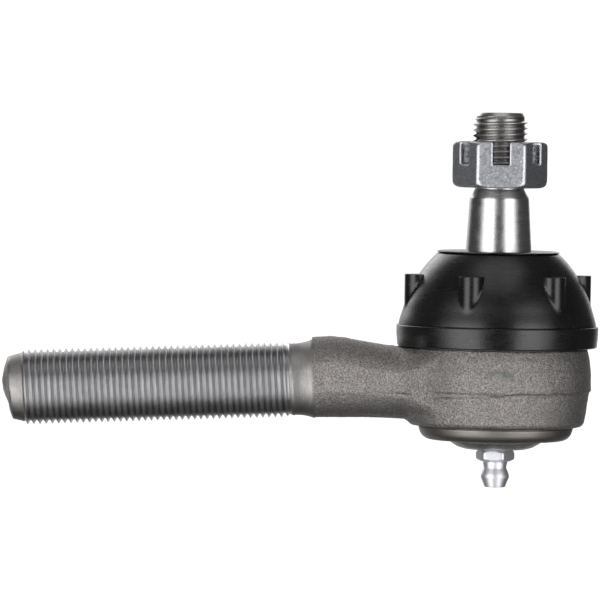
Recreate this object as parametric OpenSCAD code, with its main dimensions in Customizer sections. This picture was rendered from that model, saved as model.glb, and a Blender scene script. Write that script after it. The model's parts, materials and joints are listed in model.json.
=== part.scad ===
// Tie rod end: a greased ball joint with a press-on dust boot, a tapered stud, a slotted
// nut and a threaded shank.
// The origin is on the stud's axis, at the large end of its taper. +Z runs up the stud,
// and the shank points along -X.

/* [Stud] */
// Outside diameter of the stud's 1/2-20 thread
stud_thread_d = 12.46; // [12.2:0.02:12.6]
// Height of the stud's top above the large end of the taper
stud_top = 31.5; // [30:0.1:34]
// Diameter of the taper's large end
taper_large_d = 15; // [14.8:0.1:15]
// Length of the taper
taper_length = 12.1; // [11:0.1:12.4]
// Length of taper over which its diameter grows by one
taper_ratio = 8; // [8:1:10]
// Diameter of the cotter pin's hole
cotter_d = 3.57; // [3:0.01:3.6]
// Distance from the stud's top to the cotter pin's hole
cotter_drop = 6.15; // [6:0.05:6.5]
// Direction of the cotter pin's hole about the stud, from +X
cotter_turn = 14; // [0:1:59]

/* [Slotted nut] */
// Distance across the nut's flats
nut_flats = 19.05; // [18:0.05:20]
// Height of the nut's lower face
nut_bottom = 14.4; // [14.2:0.1:15]
// Height of the nut
nut_height = 10.5; // [10:0.1:11]
// Width of each slot
slot_w = 3.97; // [3.7:0.01:4]
// Depth of each slot
slot_depth = 5.2; // [4:0.1:5.5]

/* [Ball joint] */
// Diameter of the stud's ball
ball_d = 25; // [24.8:0.1:25]
// Depth of the ball's centre below the origin
ball_depth = 28.25; // [28.2:0.05:28.4]
// Diameter of the stud's neck above the ball
neck_d = 12.4; // [11.6:0.1:12.4]
// Radial gap between the ball and its bearings
bearing_gap = 0.05; // [0.03:0.01:0.08]

/* [Shank] */
// Outside diameter of the 11/16-18 thread
shank_thread_d = 17.2; // [16.8:0.02:17.4]
// Length of the thread
shank_thread_length = 62.2; // [50:0.1:80]
// Distance along the shank from the stud's axis to the start of the thread
shank_thread_start = 46.1; // [45:0.1:50]
// Angle by which the shank drops below square to the stud
shank_drop = 2.5; // [0:0.1:4]

/* [Dust boot] */
// Radius of the boot's skirt
skirt_r = 23; // [22.8:0.1:23.5]
// Thickness of the boot's wall
boot_wall = 2.8; // [2.8:0.1:3]
// Number of lugs around the boot
lug_count = 6; // [4:1:8]
// Diameter of each lug
lug_d = 5.7; // [4:0.1:5.8]
// Direction of the first lug, from +X
lug_turn = -49.1; // [-90:0.1:90]

/* [Hidden] */

round_fn = 96;
hull_fn = 32;
gap = 0.05;
past = 1;

// Stud
stud_r = stud_thread_d / 2;
taper_large_r = taper_large_d / 2;
taper_small_r = taper_large_r - taper_length / taper_ratio / 2;
neck_r = neck_d / 2;
ball_r = ball_d / 2;
ball_z = -ball_depth;
ball_flat_z = ball_z - 8;
collar_z = -3.4;
neck_top_z = -7.5;
thread_relief_r = 5.6;
thread_relief_z = 13.7;
stud_lead_length = 2.2;
stud_end_r = 4.9;

// Nut
nut_chamfer = 1.5;
nut_crown_r = 9.4;

// Bearings and the cavity that holds them
bearing_in_r = ball_r + bearing_gap;
bearing_out_r = ball_r + 2;
upper_bearing_low = ball_z - 1;
upper_bearing_high = ball_z + 7.5;
lower_bearing_high = ball_z - 2.5;
lower_bearing_low = -39.55;
lower_bearing_r = 14.9;
bearing_mouth_r = 6;
bore_r = 15;

// Socket, from the boot's shoulder down to the lip rolled over the cover
shoulder_r = 19.6;
shoulder_top = -16.2;
body_top = -22.1;
body_top_r = 20.5;
parting_z = -31.75;
parting_r = 21.45;
body_bottom = -39.85;
body_bottom_r = 17.9;
cover_seat_z = -40.55;
cover_r = 15.5;
cover_flange_z = -42.4;
lip_bend_z = -41.35;
lip_bend_r = 17.4;
lip_z = -43.05;
lip_r = 14.6;

// Shank, as distances along it from the stud's axis
shank_origin_z = -27.95;
forged_end = 41.8;
forged_end_r = 9.25;
forged_waist = 37;
forged_waist_r = 9.5;
forged_root = 19.4;
thread_end = shank_thread_start + shank_thread_length;
shank_r = shank_thread_d / 2;
lead_end = thread_end + 2.6;
lead_end_r = 7;
shear_angle = -3.2;
nib_end = lead_end + 1.7;
nib_r = 3.4;
nib_rise = 2.5;

// Preload spring, a cone of wire between the lower bearing and the cover
spring_wire_r = 0.6;
spring_top_r = 8.2;
spring_bottom_r = 5.6;
spring_turns = 2;
cover_floor_z = -43.5;

// Grease fitting
hex_flats = 7.94;
hex_turn = -7.5;
hex_corner_r = 4.42;
fitting_thread_r = 3.15;
fitting_top = -42.9;
bulge_z = -45.2;
hex_low = -48;
fitting_waist_r = 2.6;
head_r = 3.27;
fitting_tip = -53.8;
fitting_tip_r = 2.35;
fitting_bore_r = 1.6;
fitting_bore_top = -46.9;
channel_r = 1;
valve_seat_z = fitting_tip + 1.2;
mouth_r = 1.15;
check_ball_r = 1.5;
check_ball_z = valve_seat_z + 0.09;
check_wire_r = 0.17;
check_coil_r = 1.15;
check_spring_low = check_ball_z + 1.24;
check_turns = 5;

// Boot: the dome is an arc about a centre beyond the stud's axis
boot_top = -0.55;
dome_x = -4.7;
dome_z = -20.47;
dome_r = 27.22;
skirt_top = -16.9;
skirt_bottom = -21.8;
skirt_taper = 0.25;
boot_ceiling = -3.2;
shoulder_fit_r = shoulder_r + gap;
ring_r = 20.85;
ring_top = -16.8;
ring_bottom = -21.3;
lug_centre_r = 18.75;
lug_top = -5.4;
lug_bottom = -13.2;
washer_r = 13.95;
washer_t = 0.5;

// Points on an arc of the boot's dome between two heights
function dome_arc(r, high, low, steps) =
    let (a0 = asin((high - dome_z) / r), a1 = asin((low - dome_z) / r))
    [for (i = [0:steps]) let (a = a0 + (a1 - a0) * i / steps)
        [dome_x + r * cos(a), dome_z + r * sin(a)]];

// Points around a wire's section, set at angle a on a coil of radius r and height z
function wire_ring(r, z, a, wire_r, sides) =
    [for (k = [0:sides - 1]) let (b = 360 * k / sides, d = r + wire_r * cos(b))
        [d * cos(a), d * sin(a), z + wire_r * sin(b)]];

module revolve(points) {
    rotate_extrude($fn = round_fn) polygon(points);
}

// A round wire coil whose radius and height run evenly from one end to the other
module coil(r0, r1, z0, z1, turns, wire_r, steps, sides) {
    count = turns * steps;
    points = [for (i = [0:count]) let (t = i / count)
        each wire_ring(r0 + (r1 - r0) * t, z0 + (z1 - z0) * t, 360 * turns * t, wire_r, sides)];
    walls = [for (i = [0:count - 1], k = [0:sides - 1]) let (n = (k + 1) % sides)
        [i * sides + k, i * sides + n, (i + 1) * sides + n, (i + 1) * sides + k]];
    start_cap = [[for (k = [sides - 1:-1:0]) k]];
    end_cap = [[for (k = [0:sides - 1]) count * sides + k]];
    polyhedron(points, concat(walls, start_cap, end_cap), convexity = 6);
}

// Places its children on the shank's axis, with +Z along it away from the stud
module on_shank() {
    translate([0, 0, shank_origin_z]) rotate([0, -90 - shank_drop, 0]) children();
}

module forged_neck() {
    on_shank() hull() {
        translate([0, 0, forged_waist]) cylinder(h = forged_end - forged_waist,
            r1 = forged_waist_r, r2 = forged_end_r, $fn = hull_fn);
        translate([-1.6, 0, forged_root]) scale([1, 1.25, 1])
            cylinder(h = past, r = 8, $fn = hull_fn);
    }
}

module threaded_shank() {
    on_shank() difference() {
        revolve([[0, forged_waist + past], [forged_end_r - 0.3, forged_waist + past],
                 [forged_end_r, forged_end], [shank_r, shank_thread_start],
                 [shank_r, thread_end], [7.7, thread_end + 0.3],
                 [lead_end_r, lead_end + past], [0, lead_end + past]]);
        translate([0, 0, lead_end]) rotate([0, shear_angle, 0])
            translate([-20, -20, 0]) cube([40, 40, 10]);
    }
    on_shank() translate([nib_rise, 0, 0])
        revolve([[0, lead_end - past], [nib_r, lead_end - past], [nib_r, lead_end + 0.5],
                 [0.75 * nib_r, nib_end - 0.5], [0.4 * nib_r, nib_end], [0, nib_end]]);
}

module socket_cavity() {
    rotate_extrude($fn = round_fn) {
        polygon([[0, shoulder_top + past], [12.6, shoulder_top + past], [12.2, shoulder_top],
                 [10.6, upper_bearing_high + 0.2], [0, upper_bearing_high + 0.2]]);
        intersection() {
            translate([0, ball_z]) circle(bearing_out_r + 0.02);
            translate([0, ball_z - 5]) square([bore_r, upper_bearing_high + 0.2 - ball_z + 5]);
        }
        polygon([[0, ball_z - 1.5], [bore_r, ball_z - 1.5], [bore_r, cover_seat_z],
                 [cover_r + gap, cover_seat_z], [cover_r + gap, cover_flange_z],
                 [lip_r, cover_flange_z], [lip_r, lip_z - past], [0, lip_z - past]]);
    }
}

module socket_body() color("#7a756e") {
    difference() {
        union() {
            revolve([[0, shoulder_top], [shoulder_r - 0.7, shoulder_top],
                     [shoulder_r, shoulder_top - 0.7], [shoulder_r, body_top],
                     [body_top_r, body_top], [parting_r, parting_z], [20, body_bottom + 1.1],
                     [19.2, body_bottom + 0.3], [body_bottom_r, body_bottom],
                     [lip_bend_r, lip_bend_z], [16.8, -42.1], [15.3, lip_z], [0, lip_z]]);
            forged_neck();
        }
        socket_cavity();
    }
    threaded_shank();
}

module upper_bearing() color("#b9a27a") {
    rotate_extrude($fn = round_fn) intersection() {
        difference() {
            translate([0, ball_z]) circle(bearing_out_r);
            translate([0, ball_z]) circle(bearing_in_r);
        }
        translate([0, upper_bearing_low])
            square([bore_r, upper_bearing_high - upper_bearing_low]);
    }
}

module lower_bearing() color("#b9a27a") {
    rotate_extrude($fn = round_fn) difference() {
        translate([bearing_mouth_r, lower_bearing_low])
            square([lower_bearing_r - bearing_mouth_r, lower_bearing_high - lower_bearing_low]);
        translate([0, ball_z]) circle(bearing_in_r);
    }
}

module preload_spring() color("#8d9095") {
    coil(spring_bottom_r, spring_top_r, cover_floor_z + spring_wire_r + gap,
         lower_bearing_low - spring_wire_r - gap, spring_turns, spring_wire_r, 36, 8);
}

module cover_plate() color("#6d7072") {
    revolve([[fitting_thread_r + gap, bulge_z], [6.7, bulge_z], [8.6, bulge_z + 0.5],
             [9.9, bulge_z + 1.5], [10.6, cover_flange_z], [cover_r, cover_flange_z],
             [cover_r, cover_seat_z], [9.4, cover_seat_z], [8.9, cover_floor_z + 1.6],
             [7.9, cover_floor_z + 0.5], [6.6, cover_floor_z],
             [fitting_thread_r + gap, cover_floor_z]]);
}

module grease_fitting() color("#c9cdd2") {
    difference() {
        union() {
            translate([0, 0, bulge_z - 0.4]) cylinder(h = fitting_top - bulge_z + 0.4,
                r = fitting_thread_r, $fn = round_fn);
            intersection() {
                translate([0, 0, hex_low]) rotate([0, 0, hex_turn])
                    cylinder(h = bulge_z - hex_low, d = hex_flats / cos(30), $fn = 6);
                revolve([[0, hex_low], [fitting_thread_r, hex_low],
                         [hex_corner_r, hex_low + 0.65], [hex_corner_r, bulge_z - 0.7],
                         [hex_corner_r - 0.65, bulge_z], [0, bulge_z]]);
            }
            revolve([[0, hex_low + 0.4], [2.85, hex_low + 0.4], [2.85, hex_low],
                     [fitting_waist_r, hex_low - 1.4], [fitting_waist_r, hex_low - 1.9],
                     [head_r, fitting_tip + 2.5], [head_r, fitting_tip + 2.1],
                     [fitting_tip_r, fitting_tip], [0, fitting_tip]]);
        }
        revolve([[0, fitting_top + past], [channel_r, fitting_top + past],
                 [channel_r, fitting_bore_top], [fitting_bore_r, fitting_bore_top],
                 [fitting_bore_r, valve_seat_z], [mouth_r, fitting_tip],
                 [mouth_r, fitting_tip - past], [0, fitting_tip - past]]);
    }
}

module fitting_check_ball() color("#d8dade") {
    translate([0, 0, check_ball_z]) sphere(check_ball_r, $fn = round_fn);
}

module fitting_check_spring() color("#8d9095") {
    coil(check_coil_r, check_coil_r, check_spring_low, fitting_bore_top - check_wire_r - gap,
         check_turns, check_wire_r, 16, 6);
}

module ball_stud() color("#a3a6aa") {
    difference() {
        rotate_extrude($fn = round_fn) {
            polygon([[0, ball_z], [neck_r, ball_z], [neck_r, neck_top_z],
                     [taper_large_r, collar_z], [taper_large_r, 0],
                     [taper_small_r, taper_length], [thread_relief_r, thread_relief_z],
                     [thread_relief_r, nut_bottom - 0.1], [stud_r, nut_bottom + 0.5],
                     [stud_r, stud_top - stud_lead_length], [stud_end_r, stud_top],
                     [0, stud_top]]);
            intersection() {
                translate([0, ball_z]) circle(ball_r);
                translate([0, ball_flat_z]) square([ball_r + past, ball_d]);
            }
        }
        translate([0, 0, stud_top - cotter_drop]) rotate([0, 90, cotter_turn])
            cylinder(h = stud_thread_d + 2 * past, d = cotter_d, center = true, $fn = round_fn);
    }
}

module castle_nut() color("#aeb3ba") {
    corner_r = nut_flats / cos(30) / 2;
    crown_z = nut_bottom + nut_height;
    difference() {
        intersection() {
            translate([0, 0, nut_bottom]) cylinder(h = nut_height, r = corner_r, $fn = 6);
            revolve([[0, nut_bottom], [nut_crown_r, nut_bottom],
                     [corner_r, nut_bottom + 0.9], [corner_r, crown_z - nut_chamfer],
                     [nut_crown_r, crown_z], [0, crown_z]]);
        }
        translate([0, 0, nut_bottom - past]) cylinder(h = nut_height + 2 * past,
            r = stud_r + gap, $fn = round_fn);
        for (k = [0:2])
            translate([0, 0, crown_z - slot_depth]) rotate([0, 0, 30 + 60 * k])
                translate([-nut_flats, -slot_w / 2, 0])
                    cube([2 * nut_flats, slot_w, slot_depth + past]);
    }
}

module dust_boot() color("#26262a") {
    difference() {
        union() {
            revolve(concat([[0, boot_top]], dome_arc(dome_r, boot_top, skirt_top, 14),
                           [[skirt_r, skirt_top], [skirt_r - skirt_taper, skirt_bottom],
                            [0, skirt_bottom]]));
            for (k = [0:lug_count - 1])
                rotate([0, 0, lug_turn + 360 * k / lug_count])
                    translate([lug_centre_r, 0, lug_bottom])
                        cylinder(h = lug_top - lug_bottom, d = lug_d, $fn = round_fn);
        }
        revolve([[0, boot_top + past], [taper_large_r + gap, boot_top + past],
                 [taper_large_r + gap, boot_ceiling - past], [0, boot_ceiling - past]]);
        revolve(concat([[0, boot_ceiling]],
                       dome_arc(dome_r - boot_wall, boot_ceiling, shoulder_top + 0.1, 12),
                       [[shoulder_fit_r, shoulder_top + 0.1], [shoulder_fit_r, ring_top],
                        [ring_r, ring_top], [ring_r, ring_bottom],
                        [shoulder_fit_r, ring_bottom], [shoulder_fit_r, skirt_bottom - past],
                        [0, skirt_bottom - past]]));
    }
}

module boot_ring() color("#5d6064") {
    revolve([[shoulder_fit_r, ring_bottom], [ring_r, ring_bottom], [ring_r, ring_top],
             [shoulder_fit_r, ring_top]]);
}

module boot_seal_washer() color("#1e1e20") {
    revolve([[taper_large_r + 2 * gap, -washer_t], [washer_r, -washer_t], [washer_r, 0],
             [taper_large_r + 2 * gap, 0]]);
}

socket_body();
upper_bearing();
lower_bearing();
preload_spring();
cover_plate();
grease_fitting();
fitting_check_ball();
fitting_check_spring();
ball_stud();
castle_nut();
dust_boot();
boot_ring();
boot_seal_washer();
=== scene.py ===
"""The looks of a tie rod end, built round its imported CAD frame. Outlines and fields are in millimetres.
An outline is a list of (radius, height) points, and a field is a distance, negative inside the shape."""

import json
import math
from itertools import product

import bpy
import numpy as np
from mathutils import Matrix, Vector


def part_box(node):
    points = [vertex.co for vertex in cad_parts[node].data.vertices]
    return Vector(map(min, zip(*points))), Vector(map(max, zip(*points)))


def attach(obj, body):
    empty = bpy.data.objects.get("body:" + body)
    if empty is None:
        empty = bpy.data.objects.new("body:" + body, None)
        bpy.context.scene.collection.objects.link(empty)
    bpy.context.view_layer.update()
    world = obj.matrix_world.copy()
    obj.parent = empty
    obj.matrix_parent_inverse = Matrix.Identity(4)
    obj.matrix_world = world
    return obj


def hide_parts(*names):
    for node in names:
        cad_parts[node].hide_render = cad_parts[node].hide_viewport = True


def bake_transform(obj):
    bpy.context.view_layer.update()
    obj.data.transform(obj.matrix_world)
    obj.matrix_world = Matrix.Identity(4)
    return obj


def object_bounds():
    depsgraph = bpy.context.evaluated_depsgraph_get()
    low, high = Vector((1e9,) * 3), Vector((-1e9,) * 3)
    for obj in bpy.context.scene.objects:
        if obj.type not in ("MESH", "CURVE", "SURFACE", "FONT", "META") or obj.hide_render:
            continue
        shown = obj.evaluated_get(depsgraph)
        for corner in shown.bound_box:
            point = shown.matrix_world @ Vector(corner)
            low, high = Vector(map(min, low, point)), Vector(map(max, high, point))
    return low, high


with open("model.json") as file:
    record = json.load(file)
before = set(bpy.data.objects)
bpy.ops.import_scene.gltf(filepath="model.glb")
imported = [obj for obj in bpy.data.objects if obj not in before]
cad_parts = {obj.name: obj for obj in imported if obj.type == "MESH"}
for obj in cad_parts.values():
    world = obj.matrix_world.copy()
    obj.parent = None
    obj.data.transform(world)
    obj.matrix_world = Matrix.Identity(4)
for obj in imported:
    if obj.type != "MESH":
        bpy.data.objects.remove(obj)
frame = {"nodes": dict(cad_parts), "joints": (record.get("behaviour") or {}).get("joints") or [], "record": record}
CAD_LOW, CAD_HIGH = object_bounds()
MM = 0.001
JOINTS = {j["name"]: j for j in frame["joints"]}
MOUNTS = {m["name"]: m for m in frame["record"]["mounts"]}


def node_box(node):
    """A CAD node's lowest and highest corner in millimetres."""
    low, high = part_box(node)
    return np.array(low) / MM, np.array(high) / MM


STUD_TOP = node_box("ball_stud")[1][2]
NUT_LOW, NUT_HIGH = node_box("castle_nut")
BOOT_LOW, BOOT_HIGH = node_box("dust_boot")
WASHER_LOW, WASHER_HIGH = node_box("boot_seal_washer")
COVER_LOW, COVER_HIGH = node_box("cover_plate")
FITTING_LOW, FITTING_HIGH = node_box("grease_fitting")
SOCKET_LOW, SOCKET_HIGH = node_box("socket_body")
BALL_Z = JOINTS["stud_tilt"]["pos_m"][2] / MM

# The shank's axis, its distance scale and its thread, from the shank's mount
SHANK_AXIS = np.array(MOUNTS["shank_thread"]["axis"], float)
SHANK_AXIS /= np.linalg.norm(SHANK_AXIS)
SHANK_MID = np.array(MOUNTS["shank_thread"]["pos_m"]) / MM
SHANK_R = MOUNTS["shank_thread"]["dims"]["r_mm"]
THREAD_LENGTH = MOUNTS["shank_thread"]["dims"]["length_mm"]
MID_ALONG = SHANK_MID[0] / SHANK_AXIS[0]
SHANK_ROOT = SHANK_MID - SHANK_AXIS * MID_ALONG
THREAD_START = MID_ALONG - THREAD_LENGTH / 2
THREAD_END = MID_ALONG + THREAD_LENGTH / 2
CONE_LENGTH = 4.3
LEAD_LENGTH = 2.6
FORGED_END = THREAD_START - CONE_LENGTH
LEAD_END = THREAD_END + LEAD_LENGTH
NIB_END = SOCKET_LOW[0] / SHANK_AXIS[0] + 0.1

INCH = 25.4
SHANK_PITCH = INCH / 18
STUD_PITCH = INCH / 20
THREAD_DEPTH = 0.61  # of a pitch
# Phases of one thread's rows, from crest to crest
ROW_PHASES = np.array([0, 0.045, 0.08, 0.20, 0.33, 0.39, 0.46, 0.54, 0.61, 0.67, 0.80, 0.92, 0.955])


# ---- mesh tools

def smooth_shade(mesh, sharp_deg):
    """Smooth shading, with edges sharper than sharp_deg kept crisp, or none of them for 0."""
    mesh.shade_smooth()
    if sharp_deg:
        mesh.set_sharp_from_angle(angle=math.radians(sharp_deg))


def add_mesh(name, points, faces, sharp_deg=32):
    """A mesh object from points in millimetres."""
    mesh = bpy.data.meshes.new(name)
    mesh.from_pydata((np.asarray(points) * MM).tolist(), [], [list(map(int, f)) for f in faces])
    mesh.validate()
    smooth_shade(mesh, sharp_deg)
    obj = bpy.data.objects.new(name, mesh)
    bpy.context.scene.collection.objects.link(obj)
    return obj


def tube_faces(rings, wide, closed=False):
    """The faces between rings of wide points. closed joins the last ring to the first."""
    faces = []
    for i in range(rings if closed else rings - 1):
        a, b = i * wide, (i + 1) % rings * wide
        for j in range(wide):
            n = (j + 1) % wide
            faces.append((a + j, b + j, b + n, a + n))
    return faces


def softened(outline, radius, steps=3, closed=False):
    """The outline with its corners rounded to about the given radius."""
    pts = [np.array(p, float) for p in outline]
    result = []
    count = len(pts)
    for i, p in enumerate(pts):
        if not closed and i in (0, count - 1):
            result.append(p)
            continue
        before, after = pts[i - 1], pts[(i + 1) % count]
        a, b = before - p, after - p
        la, lb = np.linalg.norm(a), np.linalg.norm(b)
        reach = min(radius, 0.45 * la, 0.45 * lb)
        bend = abs(math.acos(np.clip(-(a @ b) / la / lb, -1, 1)))
        if bend < math.radians(4):
            result.append(p)
            continue
        start, end = p + a / la * reach, p + b / lb * reach
        for k in range(steps + 1):
            t = k / steps
            result.append((1 - t) ** 2 * start + 2 * t * (1 - t) * p + t * t * end)
    return result


class Turned:
    """A turned shape: rings of points about +Z, made of plain outlines and helical threads in turn."""

    def __init__(self, segments):
        self.segments = segments
        self.points, self.faces, self.last = [], [], None
        self.angles = np.arange(segments) / segments * math.tau

    def _add(self, r, z, j):
        self.points.append((r * math.cos(self.angles[j]), r * math.sin(self.angles[j]), z))
        return len(self.points) - 1

    def ring(self, r, z):
        if r < 1e-6:
            index = [len(self.points)] * self.segments
            self.points.append((0, 0, z))
        else:
            index = [self._add(r, z, j) for j in range(self.segments)]
        self._join(self.last, index)
        self.last = index

    def _join(self, a, b):
        if a is None:
            return
        for j in range(self.segments):
            n = (j + 1) % self.segments
            self._face((a[j], a[n], b[n], b[j]))

    def _face(self, corners):
        kept = [c for i, c in enumerate(corners) if c != corners[i - 1]]
        if len(set(kept)) >= 3:
            self.faces.append(kept)

    def outline(self, points):
        for r, z in points:
            self.ring(r, z)

    def thread(self, z0, z1, pitch, radius):
        """A right-hand thread from z0 to z1. radius(z, phase) may not depend on phase at its two ends."""
        per = len(ROW_PHASES)
        turns = math.ceil((z1 - z0) / pitch) + 1
        rows = np.concatenate([ROW_PHASES + k for k in range(-1, turns)])
        seg = self.segments
        z = np.clip(z0 + pitch * (rows[:, None] + np.arange(seg)[None, :] / seg), z0, z1)
        phase = np.tile(ROW_PHASES, turns + 1)
        r = radius(z, np.broadcast_to(phase[:, None], z.shape))
        first, index = {}, np.zeros(z.shape, int)
        for i in range(z.shape[0]):
            for j in range(seg):
                key = (j, round(float(z[i, j]), 7))
                if key not in first:
                    first[key] = self._add(r[i, j], z[i, j], j)
                index[i, j] = first[key]
        self._join(self.last, list(index[0]))
        top = z.shape[0] - 1
        for i in range(top):
            for j in range(seg - 1):
                self._face((index[i, j], index[i, j + 1], index[i + 1, j + 1], index[i + 1, j]))
            a, b = min(i + per, top), min(i + 1 + per, top)
            self._face((index[i, seg - 1], index[a, 0], index[b, 0], index[i + 1, seg - 1]))
        self.last = list(index[top])

    def close(self):
        """Joins the last ring to the first, for a shape with a hole through it."""
        self._join(self.last, list(range(self.segments)))

    def build(self, name, place=None, sharp_deg=32):
        points = np.array(self.points)
        if place is not None:
            rotation, origin = place
            points = points @ rotation.T + origin
        return add_mesh(name, points, self.faces, sharp_deg)


def turned(name, outline, segments, closed=False, sharp_deg=32):
    shape = Turned(segments)
    shape.outline(outline)
    if closed:
        shape.close()
    return shape.build(name, sharp_deg=sharp_deg)


def thread_cut(phase):
    """How deep the thread is at a phase, from 0 at its crest to 1 at its rounded root."""
    crest_half, flank_width, root_start, root_curve = 0.045, 0.36, 0.36, 6.38
    from_crest = np.minimum(phase, 1 - phase)
    flank = np.clip((from_crest - crest_half) / flank_width, 0, 1)
    return np.where(from_crest > root_start, 1 - root_curve * (0.5 - from_crest) ** 2, flank)


def ease(value, low, high):
    t = np.clip((value - low) / (high - low), 0, 1)
    return t * t * (3 - 2 * t)


# ---- distance fields

def smooth_min(a, b, k):
    h = np.clip(0.5 + 0.5 * (b - a) / k, 0, 1)
    return b + (a - b) * h - k * h * (1 - h)


def smooth_max(a, b, k):
    return -smooth_min(-a, -b, k)


def outline_field(r, z, outline):
    """Signed distance to a closed outline in the (r, z) plane, negative inside."""
    best = np.full(r.shape, 1e9, r.dtype)
    inside = np.zeros(r.shape, bool)
    for (r0, z0), (r1, z1) in zip(outline, outline[1:] + outline[:1]):
        er, ez = r1 - r0, z1 - z0
        t = np.clip(((r - r0) * er + (z - z0) * ez) / (er * er + ez * ez), 0, 1)
        best = np.minimum(best, (r - r0 - t * er) ** 2 + (z - z0 - t * ez) ** 2)
        if z0 != z1:
            crosses = (z0 > z) != (z1 > z)
            inside ^= crosses & (r < er * (z - z0) / ez + r0)
    return np.where(inside, -1, 1) * np.sqrt(best)


def waves(x, y, z, size, seed, octaves=3):
    """Smooth noise of the given grain size, between about -1 and 1, from fixed sums of sines."""
    rng = np.random.default_rng(seed)
    total = 0
    for octave in range(octaves):
        for _ in range(5):
            way = rng.normal(size=3)
            way *= math.tau / (size / 2 ** octave) / np.linalg.norm(way)
            phase = way[0] * x + way[1] * y + way[2] * z + rng.uniform(0, math.tau)
            total = total + np.sin(phase) / 2 ** octave
    return total / 4


def surface_net(field, low, high, cell, detail=None):
    """Points and quads of the surface where field is zero, pulled with a few Newton steps on to the surface
    where detail, the same field with fine relief, is zero."""
    axes = [np.arange(a - 2 * cell, b + 3 * cell, cell) for a, b in zip(low, high)]
    d = field(*np.meshgrid(*[a.astype(np.float32) for a in axes], indexing="ij"))
    inside = d < 0
    shape = np.array(d.shape) - 1
    mixed = np.zeros(shape, int)
    for a, b, c in product((0, 1), repeat=3):
        mixed += inside[a:shape[0] + a, b:shape[1] + b, c:shape[2] + c]
    mixed = (mixed > 0) & (mixed < 8)
    cells = np.argwhere(mixed)
    index = np.full(shape, -1, int)
    index[mixed] = np.arange(len(cells))
    total, count = np.zeros((len(cells), 3)), np.zeros(len(cells))
    for axis, a, b in product(range(3), (0, 1), (0, 1)):
        others = [k for k in range(3) if k != axis]
        start = cells.copy()
        start[:, others[0]] += a
        start[:, others[1]] += b
        end = start.copy()
        end[:, axis] += 1
        d0, d1 = d[tuple(start.T)], d[tuple(end.T)]
        cut = (d0 < 0) != (d1 < 0)
        t = np.where(cut, d0 / np.where(cut, d0 - d1, 1), 0)
        place = start.astype(float)
        place[:, axis] += t
        total += place * cut[:, None]
        count += cut
    origin = np.array([a[0] for a in axes])
    points = origin + total / count[:, None] * cell
    quads = []
    for axis in range(3):
        u, v = (axis + 1) % 3, (axis + 2) % 3
        one = np.roll(inside, -1, axis)
        change = np.argwhere(inside != one)
        ok = (change[:, axis] < shape[axis]) & (change[:, u] > 0) & (change[:, v] > 0)
        ok &= (change[:, u] < shape[u]) & (change[:, v] < shape[v])
        change = change[ok]
        corner = []
        for du, dv in ((-1, -1), (0, -1), (0, 0), (-1, 0)):
            at = change.copy()
            at[:, u] += du
            at[:, v] += dv
            corner.append(index[tuple(at.T)])
        quad = np.stack(corner, 1)
        flip = ~inside[tuple(change.T)]
        quad[flip] = quad[flip][:, ::-1]
        quads.append(quad)
    nudge, newton_steps = cell * 0.1, 4
    detail = detail or field
    for _ in range(newton_steps):
        here = detail(*points.T)
        slope = np.zeros_like(points)
        for axis in range(3):
            step = np.zeros(3)
            step[axis] = nudge
            slope[:, axis] = (detail(*(points + step).T) - detail(*(points - step).T)) / (2 * nudge)
        size = np.maximum((slope ** 2).sum(1), 0.2)
        move = -(here / size)[:, None] * slope
        far = np.linalg.norm(move, axis=1)
        move *= np.minimum(1, 0.5 * cell / np.maximum(far, 1e-9))[:, None]
        points = points + move
    return points, np.vstack(quads)


def apply_boolean(obj, other, operation):
    """Joins or cuts two closed meshes, applies the result and removes the second."""
    cut = obj.modifiers.new("cut", "BOOLEAN")
    cut.operation, cut.object, cut.solver = operation, other, "MANIFOLD"
    bpy.context.view_layer.update()
    evaluated = obj.evaluated_get(bpy.context.evaluated_depsgraph_get())
    mesh = bpy.data.meshes.new_from_object(evaluated)
    obj.modifiers.clear()
    obj.data = mesh
    bpy.data.objects.remove(other)
    return obj


# ---- material tools

def scaled(tint, factor):
    """A colour made lighter or darker, and no lighter than white."""
    return tuple(min(1, factor * c) for c in tint)


class Graph:
    """Short calls for building a node tree."""

    def __init__(self, owner):
        owner.use_nodes = True
        self.tree = owner.node_tree

    def node(self, kind, **settings):
        made = self.tree.nodes.new("ShaderNode" + kind)
        for key, value in settings.items():
            setattr(made, key, value)
        return made

    def link(self, source, target):
        self.tree.links.new(source, target)

    def feed(self, value, socket):
        """Links a socket, or sets a number or a colour."""
        if isinstance(value, bpy.types.NodeSocket):
            self.link(value, socket)
        elif isinstance(value, tuple) and len(value) == 3:
            socket.default_value = (*value, 1)
        else:
            socket.default_value = value

    def math(self, operation, *values):
        node = self.node("Math", operation=operation)
        for socket, value in zip(node.inputs, values):
            self.feed(value, socket)
        return node.outputs["Value"]

    def times(self, a, b):
        return self.math("MULTIPLY", a, b)

    def map(self, value, low, high, to_low=0.0, to_high=1.0, **settings):
        node = self.node("MapRange", **settings)
        for name, number in zip(("From Min", "From Max", "To Min", "To Max"), (low, high, to_low, to_high)):
            node.inputs[name].default_value = number
        self.link(value, node.inputs["Value"])
        return node.outputs["Result"]


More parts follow.
